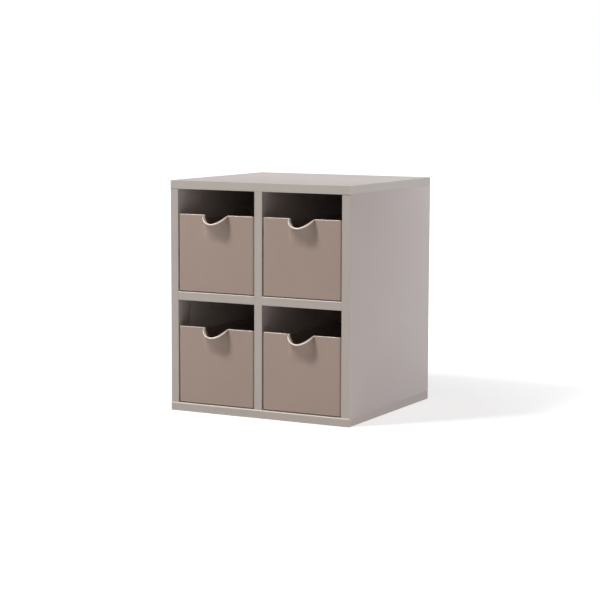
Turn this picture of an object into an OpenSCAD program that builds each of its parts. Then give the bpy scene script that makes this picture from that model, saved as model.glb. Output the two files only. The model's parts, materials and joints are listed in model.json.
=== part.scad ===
// Desktop mini drawers: a board cabinet with four open compartments, each with a
// moulded tray that slides on its own runners and is pulled by a scooped lip.
// Origin: middle of the base on the table. +Z is up and the fronts face -Y.

/* [Cabinet] */
// Overall width of the cabinet
cabinet_w = 280; // [240:1:340]
// Overall depth of the cabinet, without the pulls
cabinet_d = 260; // [220:1:320]
// Overall height of the cabinet
cabinet_h = 325; // [310:1:380]
// Thickness of every cabinet board
board_t = 12; // [10:0.5:15]
// Height of the shelf's middle above the base
shelf_z = 163.5; // [155:0.5:170]

/* [Edge bands] */
// Thickness of the band on each board's show edge
band_t = 0.8; // [0.5:0.1:1.5]
// Radius of the band's two long arrises
band_r = 0.4; // [0.2:0.1:0.5]

/* [Back panel] */
// Thickness of the back panel
back_t = 3; // [2.5:0.1:4]
// Distance from the back edge of the cabinet to the back panel
back_inset = 6; // [4:0.5:10]
// Depth of the groove that holds the back panel
groove_depth = 5; // [3:0.5:6]
// Clearance of the back panel in its groove, on each side
groove_gap = 0.1; // [0.05:0.05:0.3]

/* [Trays] */
// Height of a tray's front above its underside
tray_h = 108; // [90:1:115]
// Thickness of a tray's front
front_t = 2.5; // [2:0.1:3]
// Thickness of a tray's side and back walls
wall_t = 2; // [1.6:0.1:2.6]
// Thickness of a tray's floor
floor_t = 2; // [1.6:0.1:3]
// Radius of a tray's upright outer corners
corner_r = 2.4; // [1:0.1:3]
// How far the side and back walls stay below the front
side_drop = 12; // [6:1:20]
// Gap between a tray and the board beside it
side_gap = 1.2; // [0.8:0.1:2]
// Gap between a tray's underside and the board below it
under_gap = 1.1; // [0.8:0.1:2]
// How far a tray's front stands behind the cabinet's front
recess = 0.5; // [0:0.1:3]
// Gap between a closed tray and the back panel, which stops it
stop_gap = 0.3; // [0.2:0.1:1]

/* [Runners] */
// Width of each of the two runners under a tray
runner_w = 6; // [4:0.5:10]
// Distance from a tray's side to its runner
runner_inset = 10; // [5:1:20]
// Clearance between the runners and the board they slide on
runner_gap = 0.2; // [0.1:0.05:0.3]

/* [Pulls] */
// Outer radius of the scooped lip, a half tube that leans out of the front
pull_r = 20; // [15:0.5:24]
// Lean of the scoop out of the upright, which also tips the lip down
pull_tilt = 33; // [26:1:42]
// Thickness of the scoop's wall
pull_t = 2; // [1.4:0.1:2.6]
// Diameter of the rolled bead round the lip
bead_d = 3; // [2.7:0.1:4]

/* [Joinery] */
// Diameter of the dowels
dowel_d = 6; // [5:0.5:7]
// Depth of a dowel in the face of a board
dowel_face = 8; // [6:0.5:9]
// Depth of a dowel in the end of a board
dowel_end = 16; // [12:1:20]
// Distance of the dowels and screws from the ends of the joint
joint_inset = 40; // [30:1:60]
// Radial clearance of a dowel or screw in its hole
joint_fit = 0.05; // [0.02:0.01:0.1]
// Length of the screws that fasten the base
screw_l = 45; // [35:1:50]
// Shank diameter of the screws
screw_d = 4; // [3.5:0.1:4.5]
// Head diameter of the screws
screw_head_d = 8; // [7:0.1:9]
// How far the screw heads are sunk below the base's underside
screw_sink = 0.4; // [0.2:0.1:1]

/* [Hidden] */

board_color = [0.69, 0.66, 0.63];
band_color = [0.72, 0.69, 0.66];
tray_color = [0.62, 0.55, 0.51];
dowel_color = [0.82, 0.68, 0.48];
screw_color = [0.75, 0.75, 0.77];

fine = 48;      // segments of the arcs
cut = 1;        // overrun of every cutting tool

front_y = -cabinet_d / 2;                       // front plane of the cabinet
rear_y = cabinet_d / 2;                         // rear plane of the cabinet
core_y = front_y + band_t;                      // front of the boards, behind the bands
back_y = rear_y - back_inset - back_t;          // front face of the back panel
upright_z = board_t;                            // foot of the uprights
upright_h = cabinet_h - 2 * board_t;            // height of the uprights
side_x = cabinet_w / 2 - board_t / 2;           // middle of each side
bay_w = (cabinet_w - 3 * board_t) / 2;          // clear width of a compartment
bay_x = (bay_w + board_t) / 2;                  // middle of a compartment
shelf_y = [core_y, back_y - groove_gap];        // front and back of the inner boards
joint_y = [core_y + joint_inset, back_y - joint_inset];
tray_w = bay_w - 2 * side_gap;
tray_d = back_y - groove_gap - stop_gap - front_y - recess;
bay_floor = [board_t, shelf_z + board_t / 2];   // lower and upper compartment floors
inner_r = max(corner_r - wall_t, 0.3);          // inner corner radius of a tray

// A rectangle with four round corners, its middle at the origin
module round_rect(w, d, r) {
    square([w - 2 * r, d], center = true);
    square([w, d - 2 * r], center = true);
    for (x = [-1, 1], y = [-1, 1])
        translate([x * (w / 2 - r), y * (d / 2 - r)]) circle(r, $fn = fine);
}

// Section of an edge band: its show face is at -Y and has two round arrises
module band_section(w) {
    translate([-w / 2, band_r]) square([w, band_t - band_r]);
    translate([-w / 2 + band_r, 0]) square([w - 2 * band_r, band_t]);
    for (x = [-1, 1])
        translate([x * (w / 2 - band_r), band_r]) circle(band_r, $fn = fine);
}

// An edge band that runs along X, with its show face on the plane y = 0
module band_along_x(length, w) {
    rotate([90, 0, 90]) linear_extrude(length, center = true)
        mirror([0, 1]) rotate(-90) band_section(w);
}

// An upright edge band, with its show face on the plane y = 0
module band_upright(h, w) {
    linear_extrude(h) band_section(w);
}

// Puts its children at each joint between an upright and a level board
module at_uprights(z) {
    for (x = [-side_x, 0, side_x], y = joint_y) translate([x, y, z]) children();
}

// A round peg or hole along +Z that starts at z0
module peg(z0, z1, r) {
    translate([0, 0, z0]) cylinder(h = z1 - z0, r = r, $fn = fine);
}

// Dowels between the top and the uprights, or their holes when grow is above 0
module top_pegs(grow) {
    at_uprights(cabinet_h - board_t)
        peg(-dowel_end - grow, dowel_face + grow, dowel_d / 2 + grow);
}

// Dowels between the shelves and the uprights: blind in the sides, through the divider
module shelf_pegs(grow) {
    r = dowel_d / 2 + grow;
    side_face = cabinet_w / 2 - board_t;
    for (y = joint_y) translate([0, y, shelf_z]) rotate([0, 90, 0]) {
        peg(-board_t / 2 - dowel_end - grow, board_t / 2 + dowel_end + grow, r);
        peg(side_face - dowel_end - grow, side_face + dowel_face + grow, r);
        peg(-side_face - dowel_face - grow, -side_face + dowel_end + grow, r);
    }
}

// Outline of a countersunk screw, revolved about its axis
module screw_turned(grow) {
    r = screw_d / 2 + grow;
    head_r = screw_head_d / 2 + grow;
    rotate_extrude($fn = fine)
        polygon([[0, 0], [head_r, 0], [r, head_r - r], [r, screw_l + grow], [0, screw_l + r]]);
}

// Screws through the base into the uprights, with a cross recess in each head
module screws() {
    slot_w = screw_head_d / 7;
    slot_l = screw_head_d / 2;
    at_uprights(screw_sink) difference() {
        screw_turned(0);
        for (a = [0, 90]) rotate(a)
            translate([-slot_l / 2, -slot_w / 2, -cut]) cube([slot_l, slot_w, cut + screw_d / 3]);
    }
}

// Clearance for the screws, open through the base's underside
module screw_holes() {
    at_uprights(screw_sink) {
        screw_turned(joint_fit);
        peg(-screw_sink - cut, 0.01, screw_head_d / 2 + joint_fit);
    }
}

// Space taken by the back panel in the boards round it
module back_groove() {
    w = cabinet_w - 2 * board_t + 2 * groove_depth;
    h = upright_h + 2 * groove_depth;
    translate([-w / 2, back_y - groove_gap, board_t - groove_depth])
        cube([w, back_t + 2 * groove_gap, h]);
}

// A level board over or under the uprights, behind its three edge bands
module level_board(z) {
    w = cabinet_w - 2 * band_t;
    translate([-w / 2, core_y, z]) cube([w, cabinet_d - band_t, board_t]);
}

module top_panel() {
    color(board_color) difference() {
        level_board(cabinet_h - board_t);
        top_pegs(joint_fit);
        back_groove();
    }
}

module bottom_panel() {
    color(board_color) difference() {
        level_board(0);
        screw_holes();
        back_groove();
    }
}

// A side: side is -1 for the left one and 1 for the right one
module side_panel(side) {
    color(board_color) difference() {
        translate([side * side_x - board_t / 2, core_y, upright_z])
            cube([board_t, cabinet_d - band_t, upright_h]);
        top_pegs(joint_fit);
        shelf_pegs(joint_fit);
        screw_holes();
        back_groove();
    }
}

module divider() {
    color(board_color) difference() {
        translate([-board_t / 2, shelf_y[0], upright_z])
            cube([board_t, shelf_y[1] - shelf_y[0], upright_h]);
        top_pegs(joint_fit);
        shelf_pegs(joint_fit);
        screw_holes();
    }
}

// Half of the shelf, between the divider and one side
module shelf(side) {
    color(board_color) difference() {
        translate([side * bay_x - bay_w / 2, shelf_y[0], shelf_z - board_t / 2])
            cube([bay_w, shelf_y[1] - shelf_y[0], board_t]);
        shelf_pegs(joint_fit);
    }
}

module back_panel() {
    w = cabinet_w - 2 * board_t + 2 * groove_depth - 2 * groove_gap;
    h = upright_h + 2 * groove_depth - 2 * groove_gap;
    color(board_color)
        translate([-w / 2, back_y, board_t - groove_depth + groove_gap]) cube([w, back_t, h]);
}

// Front and side bands of a level board
module level_bands(z) {
    color(band_color) translate([0, 0, z + board_t / 2]) {
        translate([0, front_y, 0]) band_along_x(cabinet_w, board_t);
        for (side = [-1, 1]) translate([side * cabinet_w / 2, (core_y + rear_y) / 2, 0])
            rotate(side * 90) band_along_x(rear_y - core_y, board_t);
    }
}

module upright_band(x) {
    color(band_color) translate([x, front_y, upright_z]) band_upright(upright_h, board_t);
}

module shelf_band(side) {
    color(band_color) translate([side * bay_x, front_y, shelf_z]) band_along_x(bay_w, board_t);
}

// The scoop's own frame: the lip lies on z = 0 and the half tube runs down -Z
module at_scoop() {
    translate([0, 0, tray_h]) rotate([pull_tilt, 0, 0]) children();
}

// The scoop's outer skin in front of the tray's front, where it dies into the front
module scoop_body() {
    reach = pull_r / tan(pull_tilt) + front_t / sin(pull_tilt);
    intersection() {
        at_scoop() translate([0, 0, -reach]) cylinder(h = reach, r = pull_r, $fn = fine);
        translate([-pull_r - cut, -pull_r - cut, 0])
            cube([2 * (pull_r + cut), pull_r + cut + front_t / 2, tray_h]);
    }
}

// The hollow of the scoop, which also opens the top of the front
module scoop_hollow() {
    reach = pull_r / tan(pull_tilt) + 2 * front_t / sin(pull_tilt);
    at_scoop() translate([0, 0, -reach])
        cylinder(h = reach + pull_r, r = pull_r - pull_t, $fn = fine);
}

// The rolled bead round the lip, as far as the front
module lip_bead() {
    intersection() {
        at_scoop() rotate_extrude($fn = fine)
            translate([pull_r - pull_t / 2, 0]) circle(d = bead_d, $fn = fine);
        translate([-pull_r - bead_d, -pull_r - bead_d, tray_h - pull_r - bead_d])
            cube([2 * (pull_r + bead_d), pull_r + bead_d + front_t / 2, 2 * pull_r]);
    }
}

// The open box of a tray, whose sides and back step down behind the front with a cove
module tray_shell(mid_y, inner_d, cove_y) {
    difference() {
        translate([0, mid_y, 0]) linear_extrude(tray_h) round_rect(tray_w, tray_d, corner_r);
        translate([0, front_t + inner_d / 2, floor_t]) linear_extrude(tray_h)
            round_rect(tray_w - 2 * wall_t, inner_d, inner_r);
        translate([-tray_w / 2 - cut, cove_y, tray_h - side_drop])
            cube([tray_w + 2 * cut, tray_d, side_drop + cut]);
        translate([-tray_w / 2 - cut, cove_y, tray_h]) rotate([0, 90, 0])
            cylinder(h = tray_w + 2 * cut, r = side_drop, $fn = fine);
    }
}

// One tray with its front's outer face on y = 0 and its underside on z = 0
module tray() {
    mid_y = tray_d / 2;
    cove_y = front_t + side_drop;
    inner_d = tray_d - front_t - wall_t;
    color(tray_color) {
        difference() {
            union() {
                tray_shell(mid_y, inner_d, cove_y);
                scoop_body();
            }
            scoop_hollow();
        }
        lip_bead();
        for (side = [-1, 1])
            translate([side * (tray_w / 2 - runner_inset) - runner_w / 2, corner_r, runner_gap - under_gap])
                cube([runner_w, tray_d - 2 * corner_r, under_gap - runner_gap + floor_t / 2]);
    }
}

// A tray in its compartment: side is -1 or 1, row is 0 below and 1 above
module placed_tray(side, row) {
    translate([side * bay_x, front_y + recess, bay_floor[row] + under_gap]) tray();
}

top_panel();
bottom_panel();
side_panel(-1);  // left_side
side_panel(1);  // right_side
divider();
shelf(-1);  // left_shelf
shelf(1);  // right_shelf
back_panel();
level_bands(cabinet_h - board_t);  // top_edge_band
level_bands(0);  // bottom_edge_band
upright_band(-side_x);  // left_side_band
upright_band(side_x);  // right_side_band
upright_band(0);  // divider_band
shelf_band(-1);  // left_shelf_band
shelf_band(1);  // right_shelf_band
placed_tray(-1, 1);  // upper_left_tray
placed_tray(1, 1);  // upper_right_tray
placed_tray(-1, 0);  // lower_left_tray
placed_tray(1, 0);  // lower_right_tray
color(dowel_color) top_pegs(0);  // top_dowels
color(dowel_color) shelf_pegs(0);  // shelf_dowels
color(screw_color) screws();  // base_screws
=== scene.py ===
# Desktop mini drawers: finishes, smooth moulded trays, floor, light and camera
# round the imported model. Everything is in metres, with the fronts towards -Y.
import json
import math

import bmesh
import bpy
import numpy as np
from mathutils import Matrix, Vector


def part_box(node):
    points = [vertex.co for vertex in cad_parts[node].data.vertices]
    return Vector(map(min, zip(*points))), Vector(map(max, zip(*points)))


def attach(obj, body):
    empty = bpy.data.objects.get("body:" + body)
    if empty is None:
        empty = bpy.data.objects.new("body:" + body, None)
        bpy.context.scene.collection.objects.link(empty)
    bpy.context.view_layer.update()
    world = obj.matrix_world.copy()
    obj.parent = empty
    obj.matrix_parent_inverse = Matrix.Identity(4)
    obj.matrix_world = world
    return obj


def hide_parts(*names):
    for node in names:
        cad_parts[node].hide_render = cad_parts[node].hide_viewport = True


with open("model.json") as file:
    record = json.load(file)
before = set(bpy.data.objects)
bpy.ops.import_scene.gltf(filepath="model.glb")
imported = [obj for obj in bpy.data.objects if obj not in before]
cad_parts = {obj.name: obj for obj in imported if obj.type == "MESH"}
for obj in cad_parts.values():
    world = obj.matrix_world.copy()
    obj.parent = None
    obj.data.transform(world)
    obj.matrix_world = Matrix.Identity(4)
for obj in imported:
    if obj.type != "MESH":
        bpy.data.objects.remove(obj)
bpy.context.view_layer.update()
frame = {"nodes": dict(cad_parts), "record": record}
nodes = frame["nodes"]
mm = 0.001

boardLook = {
    "light": (0.505, 0.448, 0.425),     # greige laminate, linear colour
    "dark": (0.475, 0.420, 0.397),
    "roughness": (0.44, 0.58),
    "metallic": 0.0,
    "specular": 0.5,
    "cloudScale": 9.0,                  # slow colour drift across a board
    "cloudDetail": 4.0,
    "grainScale": 1400.0,               # fine pressed texture of the laminate
    "grainDetail": 3.0,
    "grainHeight": 0.03 * mm,
    "grainBump": 0.5,
    "grainShare": 0.35,                 # how much of the colour follows the grain
    "noiseSpan": (0.3, 0.7),            # the part of each noise that is spread over the look
}
bandLook = dict(boardLook, light=(0.472, 0.418, 0.385), dark=(0.442, 0.390, 0.358),
                roughness=(0.36, 0.46), grainScale=900.0, grainHeight=0.02 * mm)
topBandLook = dict(bandLook, light=(0.478, 0.443, 0.402), dark=(0.448, 0.415, 0.374))
backLook = dict(boardLook, light=(0.450, 0.398, 0.366), dark=(0.412, 0.364, 0.334))
trayLook = dict(boardLook, light=(0.387, 0.295, 0.249), dark=(0.352, 0.266, 0.224),
                roughness=(0.36, 0.50), specular=0.35, cloudScale=7.0,
                grainScale=2200.0, grainHeight=0.025 * mm)
# the pale rim of the pull: partly a paler rim colour, partly a painted highlight; also the colour of
# the painted arris highlight on the bands
lipLook = dict(boardLook, light=(0.86, 0.78, 0.70), dark=(0.80, 0.72, 0.64),
               roughness=(0.22, 0.34), cloudScale=30.0,
               grainScale=1800.0, grainHeight=0.01 * mm)
dowelLook = dict(boardLook, light=(0.70, 0.52, 0.31), dark=(0.58, 0.41, 0.23),
                 cloudScale=60.0, grainScale=600.0, grainHeight=0.08 * mm)
screwLook = dict(boardLook, light=(0.66, 0.66, 0.68), dark=(0.52, 0.52, 0.54),
                 roughness=(0.24, 0.42), metallic=1.0, cloudScale=200.0, grainScale=3000.0)

# the pale line along the top arris of the shelf and bottom bands: a painted highlight, where light
# from above catches the rounded edge
paintedArrisHighlight = lipLook["light"]
jointShade = (0.10, 0.08, 0.07)
frontLines = {
    "rise": 0.2 * mm,                   # the height over which a line fades in
    "reach": 1.1 * mm,                  # how far back from the front it goes
    "reachFade": 0.5 * mm,
    "bands": {                          # the lines along the tops of bands: width and colour, a painted highlight on the arrises of the shelves and the bottom, the joint shade on the sides
        "left_shelf_band": (1.0 * mm, paintedArrisHighlight),
        "right_shelf_band": (1.0 * mm, paintedArrisHighlight),
        "bottom_edge_band": (1.7 * mm, paintedArrisHighlight),
        "left_side_band": (0.5 * mm, jointShade),
        "right_side_band": (0.7 * mm, jointShade),
    },
}


def startMaterial(name):
    # a new node material: gives the material, its node tree and its main shader
    material = bpy.data.materials.new(name)
    material.use_nodes = True
    tree = material.node_tree
    return material, tree, tree.nodes["Principled BSDF"]


def addNoise(tree, place, scale, detail):
    # a soft random field over the piece's own coordinates
    node = tree.nodes.new("ShaderNodeTexNoise")
    node.inputs["Scale"].default_value = scale
    node.inputs["Detail"].default_value = detail
    tree.links.new(place, node.inputs["Vector"])
    return node.outputs["Fac"]


def addRange(tree, value, fromEnds, toEnds=(0.0, 1.0)):
    # carries the first pair of ends to the second along a straight line, level past both
    node = tree.nodes.new("ShaderNodeMapRange")
    sockets = ["From Min", "From Max", "To Min", "To Max"]
    for socket, end in zip(sockets, [*fromEnds, *toEnds]):
        node.inputs[socket].default_value = end
    tree.links.new(value, node.inputs["Value"])
    return node


def addFrontLine(tree, place, colour, line):
    # lays the given line, a painted highlight or the joint shade, over the band's colour above a
    # height, as far back as the line reaches
    axes = tree.nodes.new("ShaderNodeSeparateXYZ")
    tree.links.new(place, axes.inputs[0])
    above = addRange(tree, axes.outputs["Z"], (line["above"], line["above"] + frontLines["rise"]))
    back = line["frontY"] + frontLines["reach"]
    cover = addRange(tree, axes.outputs["Y"], (back + frontLines["reachFade"], back))
    tree.links.new(above.outputs["Result"], cover.inputs["To Max"])
    mix = tree.nodes.new("ShaderNodeMix")
    mix.data_type = "RGBA"
    mix.inputs[7].default_value = (*line["colour"], 1)
    tree.links.new(cover.outputs["Result"], mix.inputs[0])
    tree.links.new(colour, mix.inputs[6])
    return mix.outputs[2]


def finish(name, look, line=None):
    # the colour drifts with a slow noise and a share of a much finer one;
    # the finer one also sets the roughness and the tooth of the surface
    material, tree, shader = startMaterial(name)
    place = tree.nodes.new("ShaderNodeTexCoord").outputs["Object"]
    cloud = addNoise(tree, place, look["cloudScale"], look["cloudDetail"])
    grain = addNoise(tree, place, look["grainScale"], look["grainDetail"])

    drift = tree.nodes.new("ShaderNodeMix")
    drift.data_type = "FLOAT"
    drift.inputs[0].default_value = look["grainShare"]
    tree.links.new(cloud, drift.inputs[2])
    tree.links.new(grain, drift.inputs[3])
    tint = tree.nodes.new("ShaderNodeValToRGB")
    shades = zip(tint.color_ramp.elements, look["noiseSpan"], ("dark", "light"))
    for element, position, shade in shades:
        element.position = position
        element.color = (*look[shade], 1)
    tree.links.new(drift.outputs[0], tint.inputs["Fac"])
    colour = tint.outputs["Color"]
    if line:
        colour = addFrontLine(tree, place, colour, line)
    tree.links.new(colour, shader.inputs["Base Color"])

    rough = addRange(tree, grain, look["noiseSpan"], look["roughness"])
    tree.links.new(rough.outputs["Result"], shader.inputs["Roughness"])
    bump = tree.nodes.new("ShaderNodeBump")
    bump.inputs["Strength"].default_value = look["grainBump"]
    bump.inputs["Distance"].default_value = look["grainHeight"]
    tree.links.new(grain, bump.inputs["Height"])
    tree.links.new(bump.outputs["Normal"], shader.inputs["Normal"])
    shader.inputs["Specular IOR Level"].default_value = look["specular"]
    shader.inputs["Metallic"].default_value = look["metallic"]
    return material


finishes = {
    "board": finish("greigeBoard", boardLook),
    "edge_band": finish("greigeEdgeBand", bandLook),
    "back_board": finish("greigeBackBoard", backLook),
    "tray": finish("taupeTray", trayLook),
    "dowel_wood": finish("beechDowel", dowelLook),
    "screw_steel": finish("zincScrew", screwLook),
}
# the pale rim with its painted highlight on the pulls' lips, and the painted highlight along the
# trays' front rims
paleRimAndPaintedHighlight = finish("paleLipAndHighlight", lipLook)

for subpart in frame["record"]["subparts"]:
    name = subpart["node"]
    material = finishes[subpart["material_slot"]]
    if name == "top_edge_band":
        material = finish("topEdgeBand", topBandLook)
    # these bands get a line painted into their colour: a painted highlight along the top arris, or
    # the joint shade
    if name in frontLines["bands"]:
        width, colour = frontLines["bands"][name]
        low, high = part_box(name)
        line = {"above": high.z - width, "frontY": low.y, "colour": colour}
        material = finish(name + "_with_painted_line", bandLook, line)
    nodes[name].data.materials.clear()
    nodes[name].data.materials.append(material)
print("materials set on", len(nodes), "nodes")


# boards: the panels that meet at a seam in view, with a small round on every square edge

boardShape = {
    "arris": 0.6 * mm,
    "arrisSteps": 2,
    "merge": 0.002 * mm,                # corners closer than this are one
    "flat": math.radians(0.5),          # faces that turn less than this are one
    "square": math.radians(50),         # edges that turn more than this are rounded
}


def linkPiece(name, mesh):
    # a smooth-shaded object for the mesh, at the origin
    mesh.polygons.foreach_set("use_smooth", np.ones(len(mesh.polygons), bool))
    piece = bpy.data.objects.new(name, mesh)
    bpy.context.scene.collection.objects.link(piece)
    return piece


def softBoard(name, source):
    # a copy of the solid's own mesh, merged into whole faces, then bevelled
    mesh = source.data.copy()
    mesh.name = name
    work = bmesh.new()
    work.from_mesh(mesh)
    bmesh.ops.remove_doubles(work, verts=work.verts, dist=boardShape["merge"])
    bmesh.ops.dissolve_limit(work, angle_limit=boardShape["flat"], verts=work.verts, edges=work.edges)
    work.to_mesh(mesh)
    work.free()
    piece = linkPiece(name, mesh)
    bevel = piece.modifiers.new("arris", "BEVEL")
    bevel.width = boardShape["arris"]
    bevel.segments = boardShape["arrisSteps"]
    bevel.limit_method = "ANGLE"
    bevel.angle_limit = boardShape["square"]
    bevel.harden_normals = True
    return piece


for board in ["top_panel", "left_side", "right_side"]:
    piece = softBoard(board + "_board", nodes[board])
    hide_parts(board)
    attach(piece, "cabinet")
print("boards softened")


# trays: one wall carried round the tray, swelling into the scooped pull at the front

trayShape = {
    "recess": 0.5 * mm,         # the front's distance behind the front of the cabinet
    "wall": 2.1 * mm,
    "height": 108 * mm,
    "sideDrop": 12 * mm,        # sides and back below the front
    "corner": 2.4 * mm,
    "footRise": 0.6 * mm,       # the wall's foot above the tray's underside
    "rimRise": 0.8 * mm,        # height of the rounded rim over the wall
    "lipRise": 0.6 * mm,        # what the lip's rim has over that
    "sharp": math.radians(50),  # edges that turn more than this stay crisp
}
pullShape = {
    "half": 19.4 * mm,          # half the width of the scoop
    "throw": 16.2 * mm,         # how far the lip stands forward
    "drop": 11.2 * mm,          # how far it dips
    "reach": 40 * mm,           # depth at which the scoop dies into the front
    "dipPower": 0.7,            # fullness of the dip
    "lipPower": (0.5, 0.85),    # fullness across the pull, at the rim and below it
    "settle": 10 * mm,          # how far below the rim the second one holds
    "fade": 1.75,               # how fast the scoop sinks back below the lip
    "hollowSide": 0.6,          # what the hollow loses at each side, in wall thicknesses
    "hollowTaper": 0.45,        # how fast it narrows on its way down
    "hollowDepth": 14 * mm,     # and how far down that goes on
    "frontHighlight": [(0, 2)],      # pale strips, counted over the rim from the outer skin: a painted highlight along the front's rim, and on the lip a paler rim with a painted highlight
    "paleLipAndHighlight": [(-1, 3), (5, 8)],
}
trayFloor = {
    "thickness": 2 * mm,
    "corner": 2 * mm,
    "edge": 0.3 * mm,           # soft lower edge of the floor and the runners
    "intoWall": 0.6,            # how far from the wall's outside it ends, as a share of the wall
    "turnSteps": 48,
}
trayRunner = {
    "inset": 10 * mm,           # from the side of the tray to the middle of a runner
    "width": 6 * mm,
    "drop": 0.9 * mm,           # below the underside of the tray
    "intoFloor": 1 * mm,
    "corner": 1.2 * mm,
    "endGap": 2.4 * mm,         # from the front and the back of the tray
}
hair = 0.01 * mm                # what is nearer than this is at the same place
wallGrid = {
    "pull": 41,                                     # columns over half of the pull
    "nearPull": np.array([0.4, 1, 2, 4, 8]) * mm,   # columns just outside it
    "farPull": 14 * mm,                             # where the coarse columns start
    "front": 5,
    "corner": 9,
    "cove": 22,
    "pastCove": 6 * mm,                             # the fine columns go on this far
    "side": 12,
    "sideStart": 0.1,                               # first of them, as a share of the run
    "back": 9,
    "pullRows": 45,                                 # rows from the rim to below the scoop
    "belowScoop": 1 * mm,
    "lowRows": 6,
    "rimSteps": 9,
}


def wallPath(halfWidth, depth):
    # outer line of a tray from above, closed, from the middle of the front round to the right,
    # the back and the left: straight runs joined by quarter circles
    r = trayShape["corner"]
    half = pullShape["half"]
    scoopRun = half * np.sin(np.linspace(0, math.pi / 2, wallGrid["pull"]))
    plainRun = np.linspace(half + wallGrid["farPull"], halfWidth - r, wallGrid["front"])
    frontRun = np.concatenate([scoopRun, half + wallGrid["nearPull"], plainRun])
    turn = np.linspace(0, math.pi / 2, wallGrid["corner"])[1:]
    coveEnd = trayShape["sideDrop"] + wallGrid["pastCove"]
    coveRun = np.linspace(r, coveEnd, wallGrid["cove"])[1:]
    lowSteps = np.linspace(wallGrid["sideStart"], 1, wallGrid["side"])
    lowRun = coveEnd + lowSteps * (depth - r - coveEnd)
    sideRun = np.concatenate([coveRun, lowRun])
    backRun = np.linspace(halfWidth - r, 0, wallGrid["back"])[1:]
    rightHalf = np.concatenate([
        np.stack([frontRun, np.zeros_like(frontRun)], 1),
        np.stack([halfWidth - r + r * np.sin(turn), r - r * np.cos(turn)], 1),
        np.stack([np.full_like(sideRun, halfWidth), sideRun], 1),
        np.stack([halfWidth - r + r * np.cos(turn), depth - r + r * np.sin(turn)], 1),
        np.stack([backRun, np.full_like(backRun, depth)], 1),
    ])
    leftHalf = rightHalf[1:-1][::-1] * np.array([-1, 1])
    return np.concatenate([rightHalf, leftHalf])


def wallTop(path, front):
    # height of the wall: the front less the pull's dip, which is (1 - s squared) to a power for s
    # from -1 to 1 across the pull; elsewhere a round cove that leads down to the low sides and back
    height, drop = trayShape["height"], trayShape["sideDrop"]
    s = np.clip(np.abs(path[:, 0]) / pullShape["half"], 0, 1)
    dip = pullShape["drop"] * (1 - s ** 2) ** pullShape["dipPower"]
    back = np.clip(path[:, 1] - trayShape["wall"], 0, drop)
    cove = np.sqrt(np.maximum(drop ** 2 - (drop - back) ** 2, 0))
    return height - np.where(front, dip, cove)


def scoopSkin(frontX, z, edgeX, inset):
    # the front with its pull: y is minus the throw times (1 - s squared) to a power, times a fading
    # power of the depth below the rim, so the full lip settles into a soft swell;
    # the inner skin lies further back, and its hollow narrows as it goes down
    half = pullShape["half"]
    scoopFoot = trayShape["height"] - pullShape["reach"]
    s = np.clip(frontX / half, -1, 1)[:, None]
    below = z[:, :1] - z
    t = np.clip(below / (z[:, :1] - scoopFoot), 0, 1)
    firm, soft = pullShape["lipPower"]
    power = firm + (soft - firm) * np.clip(below / pullShape["settle"], 0, 1)
    lean = pullShape["throw"] * (1 - s ** 2) ** power * (1 - t) ** pullShape["fade"]
    width = np.full_like(z, half)
    if inset:
        down = np.clip(trayShape["height"] - z, 0, pullShape["hollowDepth"])
        width -= pullShape["hollowSide"] * inset + pullShape["hollowTaper"] * down
    beyond = (np.sign(frontX) * np.maximum(np.abs(frontX) - half, 0))[:, None]
    x = s * width + beyond * (edgeX - width) / (edgeX - half)
    return x, inset - lean


def paleAndHighlightStrips(path, front, rimStart, stripCount):
    # 1 on the pale strips of the rim, a painted highlight along the front's rim and on the lip a
    # paler rim with a painted highlight, else 0; a strip lies between two columns
    inPull = front & (np.abs(path[:, 0]) < pullShape["half"] + hair)
    pale = np.zeros((len(path), stripCount), int)
    for columns, spans in [(front, pullShape["frontHighlight"]), (inPull, pullShape["paleLipAndHighlight"])]:
        both = columns & np.roll(columns, -1)
        for first, last in spans:
            pale[both, rimStart + first:rimStart + last] = 1
    return pale.reshape(-1)


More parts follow.
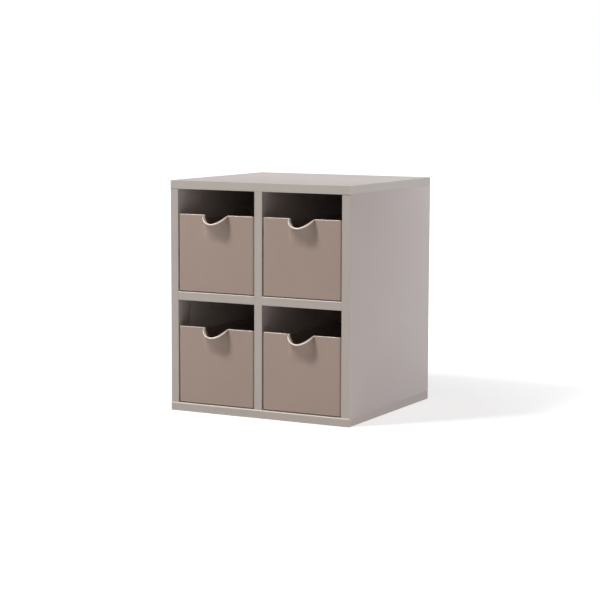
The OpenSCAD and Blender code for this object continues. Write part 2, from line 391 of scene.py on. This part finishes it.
def trayWall(halfWidth, depth):
    # a closed wall: columns go round the path and rows go up the outer skin, over the rim by
    # half an ellipse, and down the inner skin; gives its points, its quads and their finish, 1 for
    # the pale strips with their painted highlight
    path = wallPath(halfWidth, depth)
    front = path[:, 1] < hair
    along = np.roll(path, -1, 0) - np.roll(path, 1, 0)
    inward = np.stack([-along[:, 1], along[:, 0]], 1) / np.linalg.norm(along, axis=1, keepdims=True)
    s = np.clip(path[:, 0] / pullShape["half"], -1, 1)
    rise = trayShape["rimRise"] + trayShape["lipRise"] * np.sqrt(1 - s ** 2) * front
    top = wallTop(path, front) - rise
    scoopEnd = trayShape["height"] - pullShape["reach"] - wallGrid["belowScoop"]
    t = np.linspace(0, 1, wallGrid["pullRows"])
    down = np.linspace(1, 0, wallGrid["lowRows"])[1:]
    lowZ = trayShape["footRise"] + (scoopEnd - trayShape["footRise"]) * down
    z = np.concatenate([top[:, None] - t * (top - scoopEnd)[:, None],
                        np.broadcast_to(lowZ, (len(path), len(lowZ)))], 1)

    skins = []
    for inset in (0.0, trayShape["wall"]):
        place = path + inset * inward
        skin = np.stack([np.broadcast_to(place[:, :1], z.shape),
                         np.broadcast_to(place[:, 1:], z.shape), z], -1).copy()
        edgeX = halfWidth - trayShape["corner"]
        skin[front, :, 0], skin[front, :, 1] = scoopSkin(path[front, 0], z[front], edgeX, inset)
        skins.append(skin)
    outer, inner = skins
    angle = np.linspace(0, math.pi, wallGrid["rimSteps"])[1:-1]
    centre = (outer[:, 0] + inner[:, 0]) / 2
    rim = centre[:, None] + np.cos(angle)[:, None] * (outer[:, 0] - centre)[:, None]
    rim[:, :, 2] += rise[:, None] * np.sin(angle)

    ring = np.concatenate([outer[:, ::-1], rim, inner], 1)
    columns, around = ring.shape[:2]
    index = np.arange(columns * around).reshape(columns, around)
    right = np.roll(index, -1, 0)
    quads = np.stack([index, right, np.roll(right, -1, 1), np.roll(index, -1, 1)], -1)
    pale = paleAndHighlightStrips(path, front, z.shape[1] - 1, around)
    return ring.reshape(-1, 3), quads.reshape(-1, 4), pale


def slab(low, high, r):
    # a rounded rectangle in plan, carried up through three levels with a soft lower edge
    turn = np.linspace(0, 2 * math.pi, trayFloor["turnSteps"] + 1)[:-1]
    c, s = np.cos(turn), np.sin(turn)
    edge = trayFloor["edge"]
    rings = []
    for inset, z in ((edge, low[2]), (0, low[2] + edge), (0, high[2])):
        x = np.where(c > 0, high[0] - r, low[0] + r) + (r - inset) * c
        y = np.where(s > 0, high[1] - r, low[1] + r) + (r - inset) * s
        rings.append(np.stack([x, y, np.full_like(x, z)], 1))
    index = np.arange(3 * len(turn)).reshape(3, -1)
    after = np.roll(index, -1, 1)
    quads = np.stack([index[:-1], after[:-1], after[1:], index[1:]], -1).reshape(-1, 4)
    return np.concatenate(rings), quads.tolist() + [index[0][::-1].tolist(), index[-1].tolist()]


def trayMesh(name, points, faces, marks):
    # the tray's mesh with its two finishes, the taupe and the pale one that carries the painted
    # highlight, its faces outwards and its crisp edges marked
    mesh = bpy.data.meshes.new(name)
    mesh.from_pydata(points.tolist(), [], faces)
    mesh.materials.append(finishes["tray"])
    mesh.materials.append(paleRimAndPaintedHighlight)
    mesh.polygons.foreach_set("material_index", marks)
    work = bmesh.new()
    work.from_mesh(mesh)
    bmesh.ops.recalc_face_normals(work, faces=work.faces)
    for edge in work.edges:
        if len(edge.link_faces) == 2 and edge.calc_face_angle() > trayShape["sharp"]:
            edge.smooth = False
    work.to_mesh(mesh)
    work.free()
    return mesh


def makeTray(name, low, high):
    # the wall, the floor that ends inside it, and the two runners that enter the floor
    halfWidth = (high.x - low.x) / 2
    middleX = (high.x + low.x) / 2
    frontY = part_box("divider_band")[0].y + trayShape["recess"]
    floorZ = low.z + trayRunner["drop"]
    points, quads, pale = trayWall(halfWidth, high.y - frontY)
    points = points + np.array([middleX, frontY, floorZ])
    faces = quads.tolist()
    marks = pale.tolist()
    inset = trayShape["wall"] * trayFloor["intoWall"]
    parts = [slab((low.x + inset, frontY + inset, floorZ),
                  (high.x - inset, high.y - inset, floorZ + trayFloor["thickness"]),
                  trayFloor["corner"])]
    for side in (-1, 1):
        x = middleX + side * (halfWidth - trayRunner["inset"])
        reach = trayRunner["width"] / 2
        endGap = trayRunner["endGap"]
        parts.append(slab((x - reach, frontY + endGap, low.z),
                          (x + reach, high.y - endGap, floorZ + trayRunner["intoFloor"]),
                          trayRunner["corner"]))
    for partPoints, partFaces in parts:
        start = len(points)
        points = np.concatenate([points, partPoints])
        faces += [[start + corner for corner in face] for face in partFaces]
        marks += [0] * len(partFaces)
    return linkPiece(name, trayMesh(name, points, faces, marks))


for drawer in ["upper_left", "upper_right", "lower_left", "lower_right"]:
    tray = makeTray(drawer + "_tray_moulding", *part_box(drawer + "_tray"))
    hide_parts(drawer + "_tray")
    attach(tray, drawer + "_drawer")
print("trays made")


# floor, light and camera

studio = {
    "sky": 0.14,                        # soft light from all round
    "paper": (0.68, 0.67, 0.66),        # the floor's own colour
    "paperRoughness": 0.9,
    "whiteFrom": (0.25, 1.1),           # near and far distance from the origin
    "white": (0.52, 1.0),               # and the paper's own white at each
    "floorHalfWidth": 40.0,
    "floorRows": (-2.4, 4.2, 14),       # first and last step along Y, and how many
}


def floorMesh():
    # a flat floor: rows along Y at the hyperbolic sine of even steps, so they spread further away
    line = np.sinh(np.linspace(*studio["floorRows"]))
    points = np.zeros((len(line), 2, 3))
    points[:, 0, 0], points[:, 1, 0] = -studio["floorHalfWidth"], studio["floorHalfWidth"]
    points[:, :, 1] = line[:, None]
    faces = [[2 * i, 2 * i + 1, 2 * i + 3, 2 * i + 2] for i in range(len(line) - 1)]
    mesh = bpy.data.meshes.new("floor")
    mesh.from_pydata(points.reshape(-1, 3).tolist(), [], faces)
    return mesh


def seenDirectly(tree):
    # 1 for camera, glossy and transmission rays, and 0 for the rays that carry soft light
    path = tree.nodes.new("ShaderNodeLightPath")
    total = path.outputs["Is Camera Ray"]
    for ray in ["Is Glossy Ray", "Is Transmission Ray"]:
        larger = tree.nodes.new("ShaderNodeMath")
        larger.operation = "MAXIMUM"
        tree.links.new(total, larger.inputs[0])
        tree.links.new(path.outputs[ray], larger.inputs[1])
        total = larger.outputs[0]
    return total


def paperMaterial():
    # pale paper, whose own white shows more the further it lies from the object
    material, tree, shader = startMaterial("palePaper")
    shader.inputs["Base Color"].default_value = (*studio["paper"], 1)
    shader.inputs["Roughness"].default_value = studio["paperRoughness"]
    shader.inputs["Emission Color"].default_value = (1, 1, 1, 1)
    place = tree.nodes.new("ShaderNodeTexCoord")
    distance = tree.nodes.new("ShaderNodeVectorMath")
    distance.operation = "LENGTH"
    tree.links.new(place.outputs["Object"], distance.inputs[0])
    white = addRange(tree, distance.outputs["Value"], studio["whiteFrom"], studio["white"])
    glow = tree.nodes.new("ShaderNodeMath")
    glow.operation = "MULTIPLY"
    tree.links.new(seenDirectly(tree), glow.inputs[0])
    tree.links.new(white.outputs["Result"], glow.inputs[1])
    tree.links.new(glow.outputs[0], shader.inputs["Emission Strength"])
    return material


def studioWorld():
    # white where the camera or a reflection looks, and the plain sky level for its light
    world = bpy.data.worlds.new("studio")
    bpy.context.scene.world = world
    world.use_nodes = True
    tree = world.node_tree
    background = tree.nodes["Background"]
    background.inputs["Color"].default_value = (1, 1, 1, 1)
    level = addRange(tree, seenDirectly(tree), (0.0, 1.0), (studio["sky"], 1.0))
    tree.links.new(level.outputs["Result"], background.inputs["Strength"])


floor = linkPiece("floor", floorMesh())
floor.data.materials.append(paperMaterial())
studioWorld()

softBoxes = {
    "keyFrontLeft": {"at": (-1.5, -1.75, 2.75), "to": (0, 0, 0.16),
                     "size": 0.7, "power": 93, "tint": (1, 1, 1)},
    "rightSide": {"at": (3.9, 0.55, 0.6), "to": (0, 0, 0.1),
                  "size": 1.6, "power": 49, "tint": (0.96, 0.93, 1)},
    "overhead": {"at": (0.2, 0.3, 2.4), "to": (0, 0, 0.3),
                 "size": 1.2, "power": 4.5, "tint": (0.94, 0.97, 1)},
    "fillFront": {"at": (1.2, -2.7, 0.6), "to": (0, 0, 0.16),
                  "size": 1.2, "power": 4.5, "tint": (1, 0.96, 0.9)},
    "behind": {"at": (0.9, 2.7, 1.2), "to": (0, 0, 0.16),
               "size": 1.4, "power": 24, "tint": (1, 1, 1)},
}
cameraView = {
    "at": (1.22125, -2.30830, 0.46313),
    "yaw": 0.487957,            # turned left from facing +Y
    "pitch": 0.118932,          # looking down
    "roll": 0.003222,
    "lens": 110.13,
    "sensor": 36,
}


def addSoftBox(name, box):
    # a square lamp that faces the point it is aimed at
    lamp = bpy.data.lights.new(name, "AREA")
    lamp.size = box["size"]
    lamp.energy = box["power"]
    lamp.color = box["tint"]
    holder = bpy.data.objects.new(name, lamp)
    holder.location = box["at"]
    aim = Vector(box["to"]) - Vector(box["at"])
    holder.rotation_euler = aim.to_track_quat("-Z", "Y").to_euler()
    bpy.context.scene.collection.objects.link(holder)


def addCamera():
    # faces +Y, then turns by the yaw, looks down by the pitch and rolls about its line of sight
    yaw, pitch, roll = cameraView["yaw"], cameraView["pitch"], cameraView["roll"]
    level = Vector((-math.sin(yaw), math.cos(yaw), 0))
    forward = level * math.cos(pitch) - Vector((0, 0, math.sin(pitch)))
    right = Vector((math.cos(yaw), math.sin(yaw), 0))
    up = right.cross(forward)
    rolledRight = right * math.cos(roll) + up * math.sin(roll)
    rolledUp = up * math.cos(roll) - right * math.sin(roll)
    data = bpy.data.cameras.new("camera")
    data.lens = cameraView["lens"]
    data.sensor_width = cameraView["sensor"]
    camera = bpy.data.objects.new("camera", data)
    turn = Matrix((rolledRight, rolledUp, -forward)).transposed()
    camera.matrix_world = Matrix.Translation(cameraView["at"]) @ turn.to_4x4()
    bpy.context.scene.collection.objects.link(camera)
    bpy.context.scene.camera = camera


for name, box in softBoxes.items():
    addSoftBox(name, box)
addCamera()
bpy.context.scene.view_settings.view_transform = "Standard"
print("stage, light and camera set")
